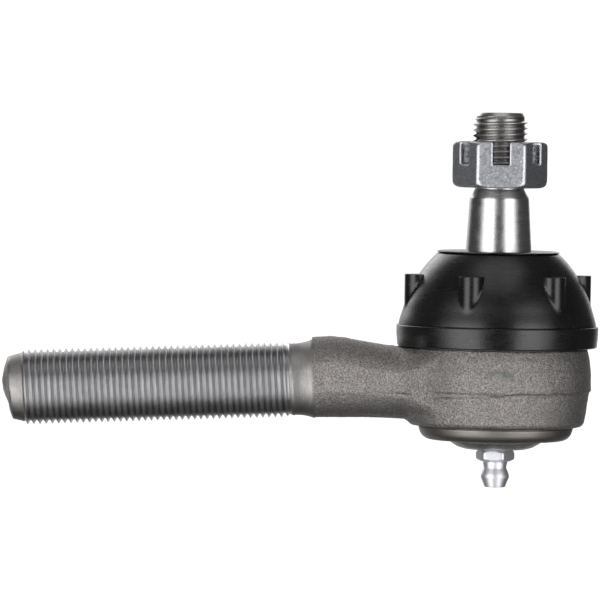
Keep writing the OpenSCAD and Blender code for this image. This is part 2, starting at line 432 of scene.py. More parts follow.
class Nodes(Graph):
    """Short calls for building one material's nodes. Positions are the object's own, in metres."""

    def __init__(self, name, metallic=0.0, specular=0.5):
        self.material = bpy.data.materials.new(name)
        super().__init__(self.material)
        self.shader = self.tree.nodes["Principled BSDF"]
        self.shader.inputs["Metallic"].default_value = metallic
        self.shader.inputs["Specular IOR Level"].default_value = specular
        self.where = self.node("TexCoord").outputs["Object"]

    def stretch(self, scale):
        """The object's coordinates, squeezed along each axis."""
        node = self.node("Mapping")
        node.inputs["Scale"].default_value = scale
        self.link(self.where, node.inputs["Vector"])
        return node.outputs["Vector"]

    def noise(self, size_mm, detail=3.0, rough=0.55, vector=None):
        node = self.node("TexNoise")
        node.inputs["Scale"].default_value = 1 / (size_mm * MM)
        node.inputs["Detail"].default_value = detail
        node.inputs["Roughness"].default_value = rough
        self.link(vector or self.where, node.inputs["Vector"])
        return node.outputs["Fac"]

    def cells(self, size_mm):
        """Distance to the nearest of many scattered points."""
        node = self.node("TexVoronoi")
        node.inputs["Scale"].default_value = 1 / (size_mm * MM)
        self.link(self.where, node.inputs["Vector"])
        return node.outputs["Distance"]

    def ramp(self, value, stops):
        node = self.node("ValToRGB")
        ramp = node.color_ramp
        while len(ramp.elements) < len(stops):
            ramp.elements.new(0.5)
        for element, (at, colour) in zip(ramp.elements, stops):
            element.position = at
            shade = (colour,) * 3 if isinstance(colour, (int, float)) else colour
            element.color = (*shade, 1)
        self.link(value, node.inputs["Fac"])
        return node.outputs["Color"]

    def mix(self, factor, a, b):
        """A colour between a and b. Inputs 6 and 7 and output 2 are the node's colour sockets."""
        node = self.node("Mix", data_type="RGBA")
        self.feed(factor, node.inputs["Factor"])
        self.feed(a, node.inputs[6])
        self.feed(b, node.inputs[7])
        return node.outputs[2]

    def edges(self):
        """How convex the surface is: about 0.5 on a flat, more on an edge."""
        return self.node("NewGeometry").outputs["Pointiness"]

    def painted(self, name):
        """The value of a named layer painted on the mesh's points, from 0 to 1."""
        return self.node("Attribute", attribute_name=name).outputs["Fac"]

    def finish(self, base, rough, heights=()):
        """Sets the colour and roughness, and chains bumps of (height socket, distance in mm, strength)."""
        self.feed(base, self.shader.inputs["Base Color"])
        self.feed(rough, self.shader.inputs["Roughness"])
        last = None
        for height, distance, strength in heights:
            node = self.node("Bump")
            self.feed(distance * MM, node.inputs["Distance"])
            self.feed(strength, node.inputs["Strength"])
            self.link(height, node.inputs["Height"])
            if last:
                self.link(last.outputs["Normal"], node.inputs["Normal"])
            last = node
        if last:
            self.link(last.outputs["Normal"], self.shader.inputs["Normal"])
        return self.material


def forging_material():
    """Shot-blasted forged steel: warm grey, grainy, with bright specks, stains, a smudge and painted shade in the
    open seam.
    """
    n = Nodes("shot_blasted_forging", metallic=0.9)
    grain = n.noise(0.34, 3, 0.6)
    lumps = n.noise(1.1, 2)
    stain = n.noise(7, 3)
    pit, steel, peak = (0.17, 0.158, 0.15), (0.31, 0.292, 0.281), (0.475, 0.455, 0.44)
    base = n.ramp(grain, [(0.34, pit), (0.5, steel), (0.66, peak)])
    base = n.mix(n.map(stain, 0.45, 0.75, 0.0, 0.3), base, (0.235, 0.228, 0.214))
    speck = n.map(n.cells(1.2), 0.0, 0.1, 1.0, 0.0)
    base = n.mix(n.times(speck, n.map(grain, 0.52, 0.6)), base, (0.85, 0.83, 0.81))
    base = n.mix(n.painted("smudge"), base, (0.16, 0.185, 0.165))
    # Painted shade: the open crack along the die line is darkened.
    base = n.mix(n.painted("seam"), base, (0.05, 0.045, 0.04))
    bumps = [(lumps, 0.3, 0.5), (grain, 0.2, 1.0), (n.cells(0.45), 0.08, 0.4)]
    return n.finish(base, n.map(grain, 0.3, 0.7, 0.62, 0.48), bumps)


def turned_steel_material(name, along, tint, rough, ring_mm, crease_shade=0.3, fleck=0.0, hollow=0.0):
    """Turned or rolled steel: fine rings across the way along, pale flecks, and painted shade in its thread's
    roots and creases.
    """
    n = Nodes(name, metallic=1.0)
    squeeze = [1.0 if abs(v) > 0.5 else 0.02 for v in along]
    rings = n.noise(ring_mm, 2, 0.6, n.stretch(squeeze))
    cloud = n.noise(2.5, 4)
    grit = n.noise(0.35, 3, 0.6)
    base = n.ramp(rings, [(0.25, scaled(tint, 0.78)), (0.75, scaled(tint, 1.1))])
    # Painted shade: concave creases, such as the thread's roots, are darkened.
    base = n.mix(n.map(n.edges(), 0.44, 0.5, crease_shade, 0.0), base, (0.06, 0.055, 0.05))
    base = n.mix(n.map(cloud, 0.5, 0.8, 0.0, 0.25), base, scaled(tint, 0.7))
    base = n.mix(n.map(grit, 0.62, 0.72, 0.0, fleck), base, (0.85, 0.84, 0.83))
    # Painted shade: the thread's roots are darkened by the painted depth layer.
    base = n.mix(n.map(n.painted("hollow"), 0.35, 1.0, 0.0, hollow), base, (0.05, 0.047, 0.045))
    roughness = n.map(cloud, 0.3, 0.7, rough - 0.04, rough + 0.07)
    return n.finish(base, roughness, [(rings, 0.012, 0.6), (grit, 0.02, 0.4)])


def zinc_material(name, tint, rough, speckle):
    """Zinc plate: pale and slightly blue, mottled, with scuffs and painted highlights on its edges."""
    n = Nodes(name, metallic=1.0)
    speck = n.noise(0.42, 4, 0.7)
    cloud = n.noise(3, 3)
    scratch = n.noise(0.35, 2, 0.5, n.stretch((0.15, 0.15, 1.0)))
    dark, light = scaled(tint, 1 - speckle), scaled(tint, 1 + 0.8 * speckle)
    base = n.ramp(speck, [(0.34, dark), (0.5, tint), (0.66, light)])
    base = n.mix(n.map(cloud, 0.45, 0.75, 0.0, 0.25), base, scaled(tint, 0.8))
    # Painted highlight: convex edges are made nearly white.
    base = n.mix(n.map(n.edges(), 0.53, 0.62, 0.0, 0.9), base, (0.93, 0.93, 0.95))
    wear = n.map(scratch, 0.6, 0.8, 0, 0.1)
    roughness = n.math("ADD", n.map(speck, 0.3, 0.7, rough - 0.08, rough + 0.08), wear)
    return n.finish(base, roughness, [(speck, 0.05, 0.4 + speckle), (scratch, 0.02, 0.4)])


def rubber_material(name="moulded_rubber", shade=0.0075):
    """Satin black rubber with faint moulding marks, dull patches and a little pale dust."""
    n = Nodes(name, specular=0.58)
    cloud = n.noise(6, 4)
    fine = n.noise(0.5, 3)
    rub = n.noise(1.2, 3, 0.6, n.stretch((0.4, 0.4, 2.5)))
    base = n.ramp(cloud, [(0.3, shade * 0.7), (0.7, shade * 1.5)])
    dust = n.times(n.map(n.cells(2.6), 0.0, 0.05, 1.0, 0.0), n.map(n.noise(3, 2), 0.5, 0.58))
    base = n.mix(dust, base, (0.42, 0.40, 0.37))
    roughness = n.math("ADD", n.map(cloud, 0.3, 0.7, 0.25, 0.33), n.map(rub, 0.4, 0.7, -0.03, 0.06))
    return n.finish(base, roughness, [(cloud, 0.25, 0.12), (fine, 0.05, 0.35)])


def plain_steel_material(name, tint, rough):
    """Pressed or drawn steel with a dull clouded skin."""
    n = Nodes(name, metallic=1.0)
    cloud = n.noise(1.8, 4)
    fine = n.noise(0.25, 3)
    base = n.ramp(cloud, [(0.3, scaled(tint, 0.75)), (0.7, scaled(tint, 1.2))])
    # Painted highlight: convex edges are made paler.
    base = n.mix(n.map(n.edges(), 0.53, 0.65, 0.0, 0.5), base, (0.62, 0.62, 0.63))
    roughness = n.map(fine, 0.3, 0.7, rough - 0.08, rough + 0.08)
    return n.finish(base, roughness, [(fine, 0.02, 0.5), (cloud, 0.08, 0.2)])


def give(obj, *materials):
    obj.data.materials.clear()
    for material in materials:
        obj.data.materials.append(material)


def material_by(obj, choose):
    """Sets each face's material number to choose(centres in millimetres)."""
    mesh = obj.data
    centre = np.empty(len(mesh.polygons) * 3, np.float32)
    mesh.polygons.foreach_get("center", centre)
    number = choose(centre.reshape(-1, 3).astype(float) / MM).astype(np.int32)
    mesh.polygons.foreach_set("material_index", number)


# ---- socket

# The dies' parting line round the forging: distances along X and its heights
DIE_LINE = ([-46, -30, -22, -16, -11, -4, 7, 22], [-32.75, -32.1, -32.0, -33.2, -32.8, -32.3, -31.6, -31.45])
# The forged neck at distances along the shank: its reach above and below the axis, and its half width
NECK_ALONG = [18, 22, 24, 26.1, 29.3, 34.2, 37.6, 41, 46]
NECK_TOP = [6.8, 6.95, 7.1, 7.5, 8.15, 9.25, 9.65, 9.55, 9.3]
NECK_BOTTOM = [10.0, 9.65, 9.45, 9.3, 9.15, 9.0, 8.95, 8.9, 8.88]
NECK_HALF_WIDTH = [13.5, 11.6, 10.9, 10.4, 9.95, 9.55, 9.4, 9.35, 9.3]
# The flats pressed on the neck's sides: their share of its half width, their draft and their middle's height
NECK_FLAT_SHARE, NECK_FLAT_DRAFT, NECK_FLAT_MIDDLE = 0.955, 0.05, -0.45
BODY_TOP = BOOT_LOW[2] - 0.3
BODY_BOTTOM = SOCKET_LOW[2] + 3.2
BODY_OUTLINE = [(-5, BODY_TOP), (20.45, BODY_TOP), (21.05, BODY_TOP - 2.6), (21.35, BODY_TOP - 5.2),
                (21.38, -31.4), (21.0, -31.95), (20.8, -33.4), (20.4, -36.2), (20.0, BODY_BOTTOM + 1.05),
                (19.5, BODY_BOTTOM + 0.35), (17.7, BODY_BOTTOM), (-5, BODY_BOTTOM)]


def along_shank(x, z):
    """Distance along the shank's axis, and height above it, of points in the CAD frame."""
    rise = z - SHANK_ROOT[2]
    return x * SHANK_AXIS[0] + rise * SHANK_AXIS[2], x * SHANK_AXIS[2] - rise * SHANK_AXIS[0]


def die_line_offset(x, y, z):
    """Height above the line that the dies left round the forging, which wanders a little."""
    return z - np.interp(x, *DIE_LINE) - 0.16 * waves(x, y, z, 7, 5, 3)


def crack_strength(x, y):
    """How open the seam at the die line is: in patches, most of all beside the neck."""
    patches = np.clip(0.35 + 1.1 * waves(x, y, 0, 6, 9, 2), 0, 1)
    return patches * ease(-x, -26, -8) * (0.35 + 0.65 * ease(x, -38, -20)) + 0.5 * np.exp(-((x + 7) / 6) ** 2)


def smooth_forging_field(x, y, z):
    body = outline_field(np.hypot(x, y), z, BODY_OUTLINE) - 0.12
    along, up = along_shank(x, z)
    top, bottom = np.interp(along, NECK_ALONG, NECK_TOP), np.interp(along, NECK_ALONG, NECK_BOTTOM)
    half_width = np.interp(along, NECK_ALONG, NECK_HALF_WIDTH)
    middle, half_height = (top - bottom) / 2, (top + bottom) / 2
    neck = (np.hypot(y / half_width, (up - middle) / half_height) - 1) * np.minimum(half_width, half_height)
    flat = np.abs(y) - half_width * NECK_FLAT_SHARE + NECK_FLAT_DRAFT * np.abs(up - NECK_FLAT_MIDDLE)
    neck = smooth_max(neck, flat, 0.12)
    neck = np.maximum(np.maximum(neck, along - FORGED_END - 3), 14 - along)
    whole = smooth_min(body, neck, 1.2 + 3.2 * ease(z, BODY_BOTTOM + 1, BODY_BOTTOM + 5))
    # Cut level under the boot. The neck may rise above that beyond the boot's edge
    whole = np.maximum(whole, z - BODY_TOP - 4 * ease(np.hypot(x, y), 23.2, 27))
    return np.maximum(whole, BODY_BOTTOM - 0.12 - z)


def forging_field(x, y, z):
    above = die_line_offset(x, y, z)
    open_seam = crack_strength(x, y)
    seam = 0.1 * np.exp(-(above / 0.5) ** 2) - 0.3 * open_seam * np.exp(-((above + 0.1) / 0.16) ** 2)
    dents = 0.06 * waves(x, y, z, 6, 3, 3) + 0.02 * waves(x, y, z, 1.3, 4, 2)
    return smooth_forging_field(x, y, z) - seam - dents


def shank_place():
    """Rotation and origin that set +Z of a turned shape along the shank, away from the socket."""
    up = np.array([SHANK_AXIS[2], 0, -SHANK_AXIS[0]])
    side = np.cross(SHANK_AXIS, up)
    return np.column_stack([up, side, SHANK_AXIS]), SHANK_ROOT


def threaded_shank():
    """The turned end of the forging: a concave cone, the thread, a lead cone and a sheared end."""
    depth = SHANK_PITCH * THREAD_DEPTH
    root = SHANK_R - depth
    start, end, tip = THREAD_START - 0.4, THREAD_END, LEAD_END
    neck_r, cone_r, cone_low = 8.96, root + 0.42, FORGED_END + 0.1
    cone = [(0, FORGED_END - 3), (8.4, FORGED_END - 3), (8.6, FORGED_END - 0.3), (8.94, FORGED_END - 0.12),
            (neck_r, cone_low)]
    for t in np.linspace(0, 1, 9)[1:]:
        cone.append((cone_r + (neck_r - cone_r) * (1 - t) ** 1.9, cone_low + t * (start - cone_low)))

    def radius(z, phase):
        fade = ease(z, start, start + 2.2 * SHANK_PITCH) * (1 - ease(z, end - 0.9 * SHANK_PITCH, end))
        crest = np.interp(z, [start, start + 2.4 * SHANK_PITCH, end - 0.8 * SHANK_PITCH, end],
                          [cone_r, SHANK_R, SHANK_R, 7.75])
        uneven = 0.02 * np.sin(z * 1.7) + 0.012 * np.sin(z * 4.1 + 1)
        return crest - fade * (depth * thread_cut(phase) - uneven * (thread_cut(phase) < 0.1) + 0.03)

    shape = Turned(96)
    shape.outline(cone)
    shape.thread(start, end, SHANK_PITCH, radius)
    shape.outline([(7.72, end + 0.15), (7.25, tip - 0.55), (7.05, tip - 0.12), (6.8, tip + 0.02)])
    shape.outline([(r, tip + 0.03) for r in (6.4, 5.9, 5.3, 4.7, 4.1, 3.5, 2.9, 2.3, 1.7, 1.1, 0.5, 0)])
    points = np.array(shape.points)
    x, y, z = points.T
    on_end = ease(z, tip - 0.6, tip)
    stub_high, stub_r, stub_off = 0.8, 4.3, 1.5
    crown, crown_r, slant = 0.9, 7, math.tan(math.radians(3.2))
    stub = stub_high * (1 - (np.hypot(x - stub_off, y * 0.95) / stub_r) ** 2)
    stub = smooth_max(stub, 0.0, 0.5) * ease(-np.hypot(x, y), -6.9, -6.2)
    stub = stub + crown * (1 - (np.hypot(x, y) / crown_r) ** 2)
    z = z + on_end * (x * slant + 0.1 * waves(x, y, 0 * x, 3, 11, 3)) + stub * (z > tip)
    points[:, 2] = np.minimum(z, NIB_END)
    rotation, origin = shank_place()
    return add_mesh("shank", points @ rotation.T + origin, shape.faces)


def paint(obj, name, value):
    """Keeps a value for each point on the mesh, for its material to read."""
    layer = obj.data.attributes.new(name, "FLOAT", "POINT")
    layer.data.foreach_set("value", np.asarray(value, np.float32))


def mesh_points(obj):
    points = np.empty(len(obj.data.vertices) * 3, np.float32)
    obj.data.vertices.foreach_get("co", points)
    return points.reshape(-1, 3).astype(float) / MM


SHOULDER_R = 19.6
LIP_R, LIP_HOLE_R = 17.6, 14.6
GROOVE_R, GROOVE_HEIGHT = 15.55, 1.85
BEARING_R, CAVITY_R = 14.52, 15


def shoulder_outline():
    """The turned shoulder that the boot's ring grips."""
    top, low, r, bevel = SOCKET_HIGH[2], BODY_TOP - 2, SHOULDER_R, 0.6
    return softened([(0, low), (r, low), (r, top - bevel), (r - bevel, top), (0, top)], 0.25)


def lip_outline():
    """The housing's lower edge, rolled in over the cover."""
    end, start = SOCKET_LOW[2], BODY_BOTTOM
    return softened([(0, start + 2), (LIP_R, start + 2), (17.45, start - 0.25), (LIP_R, start - 0.35),
                     (17.55, start - 0.7), (17.25, end + 1.6), (17.0, end + 1.15), (16.4, end + 0.5),
                     (15.6, end + 0.12), (15.0, end), (14.7, end), (0, end)], 0.3)


def cavity_outline():
    """The hollow for the stud, the bearings, the spring and the cover, from the throat down."""
    top, end = SOCKET_HIGH[2], SOCKET_LOW[2]
    groove_top, groove_end = COVER_HIGH[2], COVER_HIGH[2] - GROOVE_HEIGHT
    turns = np.radians(np.linspace(58, 95.9, 10))
    ball = [(BEARING_R * math.sin(a), BALL_Z + BEARING_R * math.cos(a)) for a in turns]
    return [(0, top + 1), (12.6, top + 1), (12.2, top), (10.6, BALL_Z + 7.7), *ball, (CAVITY_R, BALL_Z - 1.5),
            (CAVITY_R, groove_top), (GROOVE_R, groove_top), (GROOVE_R, groove_end),
            (LIP_HOLE_R, groove_end - 0.02), (LIP_HOLE_R, end - 1), (0, end - 1)]


def paint_forging(obj):
    """Paints shade into the open die line, the smudge on the housing's front, and shade into the thread's hollows
    on the forging.
    """
    x, y, z = mesh_points(obj).T
    # Painted shade in the die line's open crack.
    crack = np.exp(-((die_line_offset(x, y, z) + 0.12) / 0.17) ** 2) * np.clip(crack_strength(x, y), 0, 1)
    paint(obj, "seam", 0.75 * crack)
    smudge = np.exp(-((x - 0.5) / 3.6) ** 2 - ((z + 27.2) / 1.1) ** 2) * (y < 0)
    paint(obj, "smudge", smudge * np.clip(0.55 + 0.8 * waves(x, y, z, 2.5, 31, 2), 0, 1))
    # Painted shade: the depth of the thread's roots, which darkens them.
    along, up = along_shank(x, z)
    cut = (SHANK_R - 0.12 - np.hypot(y, up)) / (SHANK_PITCH * THREAD_DEPTH)
    paint(obj, "hollow", np.clip(cut, 0, 1) * (along > THREAD_START + 1) * (along < THREAD_END - 0.8))


FORGED, THREADED, TURNED, CONES = range(4)


def forging_materials(c):
    """The material numbers of the forging's faces, from their centres."""
    along, _ = along_shank(c[:, 0], c[:, 2])
    r = np.hypot(c[:, 0], c[:, 1])
    turned_part = (c[:, 2] < BODY_BOTTOM - 0.14) & (r < 18)
    turned_part |= (r < SHOULDER_R + 0.05) & (c[:, 2] > BODY_TOP + 0.02) & (along < 22)
    turned_part |= (r < GROOVE_R + 0.05) & (along < 18)
    cones = (along > THREAD_END - 0.9) | (along < THREAD_START + 0.9)
    body = np.where(turned_part, TURNED, FORGED)
    return np.where(along > FORGED_END - 0.02, np.where(cones, CONES, THREADED), body)


def socket_forging():
    """The forging with its threaded shank, its turned shoulder and lip, and the cavity for the joint."""
    low, high = np.array([-FORGED_END - 5, -22.3, BODY_BOTTOM - 1]), np.array([22.3, 22.3, BODY_TOP + 3.2])
    obj = add_mesh("socket_forging", *surface_net(smooth_forging_field, low, high, 0.3, forging_field), 0)
    cutter, beyond = Turned(64), FORGED_END + 12
    cutter.outline([(0, FORGED_END), (14, FORGED_END), (14, beyond), (0, beyond)])
    apply_boolean(obj, cutter.build("cutter", shank_place(), 0), "DIFFERENCE")
    apply_boolean(obj, threaded_shank(), "UNION")
    apply_boolean(obj, turned("shoulder", shoulder_outline(), 160), "UNION")
    apply_boolean(obj, turned("lip", lip_outline(), 160), "UNION")
    apply_boolean(obj, turned("cavity", cavity_outline()[::-1], 160), "DIFFERENCE")
    smooth_shade(obj.data, 38)
    paint_forging(obj)
    give(obj, forging_material(),
         turned_steel_material("shank_thread_steel", (1, 0, 0), (0.70, 0.695, 0.71), 0.34, 0.1, hollow=0.6),
         turned_steel_material("lip_steel", (0, 0, 1), (0.31, 0.29, 0.272), 0.52, 0.2, 0.0),
         turned_steel_material("turned_cone_steel", (1, 0, 0), (0.40, 0.385, 0.375), 0.5, 0.12, 0.0, 0.6))
    material_by(obj, forging_materials)
    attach(obj, "socket")
    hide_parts("socket_body")


# ---- cover, fitting

def cover():
    """The pressed plate that closes the housing: a flange in the lip's groove, and a bulge with a hole."""
    low, high = COVER_LOW[2], COVER_HIGH[2]
    flange, floor = high - GROOVE_HEIGHT, low + 1.7
    outline = softened([(3.25, low), (6.7, low), (8.6, low + 0.5), (10.2, low + 1.45), (10.9, flange - 0.4),
                        (11.5, flange - 0.03), (15.45, flange), (15.45, high), (9.4, high), (8.9, high - 1.3),
                        (7.9, floor + 0.5), (6.6, floor), (3.25, floor)], 0.6, 4, closed=True)
    obj = turned("cover", outline[::-1], 144, closed=True, sharp_deg=40)
    give(obj, plain_steel_material("pressed_cover_steel", (0.56, 0.57, 0.55), 0.5))
    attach(obj, "socket")
    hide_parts("cover_plate")


# Turns from +X of a hexagon's pairs of flats, in degrees
HEX_TURNS = (30, 90, 150)


def hex_field(x, y, half_flats, k, turn=0):
    d = None
    for a in HEX_TURNS:
        way = math.radians(a + turn)
        side = np.abs(x * math.cos(way) + y * math.sin(way)) - half_flats
        d = side if d is None else smooth_max(d, side, k)
    return d


TIP = FITTING_LOW[2]
HEX_LOW, HEX_HIGH, FITTING_TURN = TIP + 5.8, COVER_LOW[2] - 0.02, -7.5
HEX_HALF_FLATS, HEX_CORNER_R = 3.93, 4.42
# The round part, from its thread down over the waist and the head to the tip
FITTING_OUTLINE = [(-2, TIP + 12), (3.12, TIP + 12), (3.12, HEX_HIGH - 0.5), (2.9, HEX_HIGH - 0.5),
                   (2.85, HEX_LOW), (2.58, TIP + 4.55), (2.6, TIP + 4.3), (2.95, TIP + 3.55),
                   (3.18, TIP + 2.9), (3.27, TIP + 2.3), (2.35, TIP), (-2, TIP)]
CHANNEL_R, CHANNEL_LOW = 1.0, TIP + 6.9
BORE_R, MOUTH_R, MOUTH_HIGH = 1.6, 1.15, TIP + 1.2


def fitting_field(x, y, z):
    r = np.hypot(x, y)
    shaft = outline_field(r, z, FITTING_OUTLINE)
    nut = hex_field(x, y, HEX_HALF_FLATS, 0.12, FITTING_TURN)
    over, under = z - HEX_HIGH, HEX_LOW - z
    bevels = (r - 3.2) * 0.456 + under * 0.89, (r - 3.8) * 0.733 + over * 0.68
    for side, k in zip((r - HEX_CORNER_R, over, under, *bevels), (0.12, 0.1, 0.1, 0.25, 0.25)):
        nut = smooth_max(nut, side, k)
    whole = smooth_min(nut, shaft, 0.15)
    whole = np.maximum(whole, z - FITTING_HIGH[2])
    bore = np.where(z > CHANNEL_LOW, r - CHANNEL_R, r - BORE_R)
    bore = np.where(z < MOUTH_HIGH, r - np.interp(z, [TIP, MOUTH_HIGH], [MOUTH_R, BORE_R]), bore)
    return smooth_max(whole, -bore, 0.06)


def fitting():
    low, high = [-4.7, -4.1, FITTING_LOW[2]], [4.7, 4.1, FITTING_HIGH[2]]
    obj = add_mesh("fitting", *surface_net(fitting_field, low, high, 0.1), 0)
    give(obj, zinc_material("bright_zinc", (0.93, 0.93, 0.98), 0.48, 0.07))
    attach(obj, "socket")
    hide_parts("grease_fitting")


# ---- stud and nut

BALL_R, NECK_R, TAPER_R, TAPER_END = 12.5, 6.2, 7.5, 12.0
STUD_R, STUD_END_R, RELIEF_R = 6.23, 5.1, 5.6
STUD_ROOT_R = STUD_R - STUD_PITCH * THREAD_DEPTH
STUD_THREAD_LOW, STUD_THREAD_HIGH = NUT_LOW[2] - 0.3, STUD_TOP - 0.25


def stud_thread_radius(z, phase):
    """The stud's radius along its thread, which runs in above the relief and out at the rounded end."""
    start, end, runs_in = STUD_THREAD_LOW, STUD_THREAD_HIGH, 1.2 * STUD_PITCH
    fade = ease(z, start, start + runs_in) * (1 - ease(z, end - 0.35 * STUD_PITCH, end))
    crest = np.interp(z, [start, start + runs_in, STUD_TOP - 2.2, end],
                      [RELIEF_R, STUD_R, STUD_R, STUD_END_R])
    cut = np.minimum(STUD_PITCH * THREAD_DEPTH * thread_cut(phase), crest - STUD_ROOT_R)
    return crest - fade * np.maximum(cut, 0)


def cotter_drill():
    """A rod through the stud, where the cotter pin goes."""
    hole = MOUNTS["cotter_hole"]
    drill = Turned(40)
    drill.outline([(0, -9), (hole["dims"]["r_mm"], -9), (hole["dims"]["r_mm"], 9), (0, 9)])
    way = Vector(hole["axis"]).to_track_quat("Z", "Y").to_matrix()
    return drill.build("drill", (np.array(way), np.array(hole["pos_m"]) / MM), 0)


def stud_materials(c):
    """The material numbers of the stud's faces: 0 on the taper, 1 on the thread, 2 on the ball."""
    return np.where(c[:, 2] > TAPER_END + 0.3, 1, np.where(c[:, 2] < BALL_Z + 10.8, 2, 0))


def stud():
    """The ball stud: a truncated ball, a neck, a ground taper, a relief and a thread with a cotter hole."""
    turns = np.radians(np.linspace(50.2, 150.2, 36))
    ball = [(BALL_R * math.sin(a), BALL_Z - BALL_R * math.cos(a)) for a in turns]
    lower = [(0, BALL_Z - 8), (9.2, BALL_Z - 8), *ball, (NECK_R, BALL_Z + 11.6)]
    upper = softened([(NECK_R, -16.0), (NECK_R, -7.5), (TAPER_R, -3.4), (TAPER_R, 0), (6.76, TAPER_END),
                      (6.6, TAPER_END + 0.35), (5.75, STUD_THREAD_LOW - 0.35),
                      (RELIEF_R, STUD_THREAD_LOW)], 0.35, 4)
    shape = Turned(112)
    shape.outline(lower + list(upper))
    shape.thread(STUD_THREAD_LOW, STUD_THREAD_HIGH, STUD_PITCH, stud_thread_radius)
    shape.outline([(5.02, STUD_THREAD_HIGH + 0.12), (4.9, STUD_TOP - 0.03), (4.6, STUD_TOP), (0, STUD_TOP)])
    obj = apply_boolean(shape.build("stud"), cotter_drill(), "DIFFERENCE")
    smooth_shade(obj.data, 34)
    give(obj, turned_steel_material("ground_taper_steel", (0, 0, 1), (0.62, 0.61, 0.61), 0.27, 0.16, 0.0),
         turned_steel_material("stud_thread_steel", (0, 0, 1), (0.58, 0.565, 0.555), 0.34, 0.1, hollow=0.6),
         turned_steel_material("ball_steel", (0, 0, 1), (0.66, 0.66, 0.67), 0.12, 0.3, 0.0))
    x, y, z = mesh_points(obj).T
    # Painted shade: the depth of the thread's roots, which darkens them.
    cut = (STUD_R - 0.12 - np.hypot(x, y)) / (STUD_PITCH * THREAD_DEPTH)
    paint(obj, "hollow", np.clip(cut, 0, 1) * (z > STUD_THREAD_LOW + 0.5) * (z < STUD_TOP - 0.8))
    material_by(obj, stud_materials)
    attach(obj, "stud")
    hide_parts("ball_stud")


NUT_HALF_FLATS = (NUT_HIGH[1] - NUT_LOW[1]) / 2
NUT_CORNER_R, NUT_BORE_R = 10.95, 6.3
SLOT_HALF, SLOT_DEPTH = 1.85, 5.2


def across_slot(x, y, turn):
    """Distance from the middle of the pair of slots that faces a turn in degrees."""
    way = math.radians(turn)
    return np.abs(-x * math.sin(way) + y * math.cos(way))


def nut_field(x, y, z):
    r = np.hypot(x, y)
    low, high = NUT_LOW[2], NUT_HIGH[2]
    d = hex_field(x, y, NUT_HALF_FLATS, 0.35)
    d = smooth_max(d, smooth_max(r - NUT_CORNER_R, z - high, 1.7), 0.3)
    d = smooth_max(d, smooth_max(r - NUT_CORNER_R, low - z, 2.2), 0.3)
    d = smooth_max(d, -(r - NUT_BORE_R), 0.12)
    for turn in HEX_TURNS:
        slot = smooth_max(across_slot(x, y, turn) - SLOT_HALF, (high - SLOT_DEPTH) - z, 0.45)
        d = smooth_max(d, -slot, 0.45)
    return d - 0.012 * waves(x, y, z, 2.2, 21, 2)


def in_slot(c):
    """1 for the faces of the six slots' walls, 0 for the rest of the nut."""
    near = np.zeros(len(c), bool)
    for turn in HEX_TURNS:
        near |= across_slot(c[:, 0], c[:, 1], turn) < SLOT_HALF + 0.06
    near &= c[:, 2] > NUT_HIGH[2] - SLOT_DEPTH - 0.06
    return near & (np.hypot(c[:, 0], c[:, 1]) > NUT_BORE_R + 0.15)


def slotted_nut():
    obj = add_mesh("slotted_nut", *surface_net(nut_field, NUT_LOW, NUT_HIGH, 0.17), 0)
    give(obj, zinc_material("nut_zinc_plate", (0.60, 0.61, 0.65), 0.42, 0.35),
         zinc_material("nut_slot_zinc", (0.62, 0.63, 0.66), 0.14, 0.12))
    material_by(obj, in_slot)
    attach(obj, "nut")
    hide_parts("castle_nut")


# ---- boot

# The dome is an arc about a centre beyond the stud's axis
DOME_X, DOME_Z, DOME_R = -4.7, -20.47, 27.22
BOOT_WALL, NECK_HOLE_R, SHOULDER_FIT_R, RING_GROOVE_R = 2.8, 7.56, 19.65, 20.85
SKIRT_TOP = -16.9
SKIRT_R = BOOT_HIGH[0]
LUG_TOP, LUG_R, LUG_CENTRE_R = -5.4, 2.85, 18.75
LUG_COUNT, LUG_TURN = 6, -50.3


def dome(z, radius=DOME_R):
    """The dome's radius at a height, a little fuller just above the skirt."""
    return DOME_X + np.sqrt(np.maximum(radius ** 2 - (z - DOME_Z) ** 2, 0)) + 0.25 * ease(-z, 13, 16.9)


def lug_reach(z, turn):
    """How far a lug reaches at a turn from its own middle, or 0 beside it."""
    sine = LUG_CENTRE_R * np.sin(turn)
    inside = np.abs(sine) < LUG_R
    reach = LUG_CENTRE_R * np.cos(turn) + np.sqrt(np.maximum(LUG_R ** 2 - sine ** 2, 0))
    return np.where(inside, reach, 0) * (z < LUG_TOP)


def boot_angles():
    """The boot's columns of points, closer together at its lugs: their angles and their turns from a lug."""
    edge = math.asin(LUG_R / LUG_CENTRE_R)
    pitch = math.tau / LUG_COUNT
    across_lug = np.sin(np.linspace(-1.2, 1.2, 17)) * edge * 0.95
    beside_lug = np.linspace(edge * 0.96, edge * 1.04, 3)
    between_lugs = np.linspace(edge * 1.3, pitch - edge * 1.3, 12)
    turns = np.sort(np.concatenate([-beside_lug, across_lug, beside_lug, between_lugs]))
    start = turns + math.radians(LUG_TURN)
    from_lug = np.tile(turns, LUG_COUNT)
    from_lug = np.where(from_lug > pitch / 2, from_lug - pitch, from_lug)
    return np.concatenate([start + pitch * k for k in range(LUG_COUNT)]), from_lug


def dome_rows(angles, from_lug):
    """Rows of (radii, heights) down the outside of the dome, with the lugs standing out from it."""
    above_lugs = [*np.linspace(BOOT_HIGH[2] - 0.05, LUG_TOP + 0.12, 14), LUG_TOP + 0.06, LUG_TOP + 0.02]
    side_steps = np.linspace(0.35, LUG_TOP - SKIRT_TOP - 0.3, 32)
    below_lugs = [LUG_TOP - step for step in (0, 0.04, 0.1, 0.18, *side_steps)]
    rows = []
    for z in above_lugs + below_lugs:
        base = dome(np.full(len(angles), z))
        soft_top = np.clip((LUG_TOP + 0.02 - z) / 0.2, 0, 1)
        lug = lug_reach(z, from_lug) - 0.22 * (1 - np.sqrt(np.maximum(1 - (1 - soft_top) ** 2, 0)))
        rows.append((np.where(lug > 1, smooth_max(lug, base, 0.25), base), np.full(len(angles), z)))
    return rows


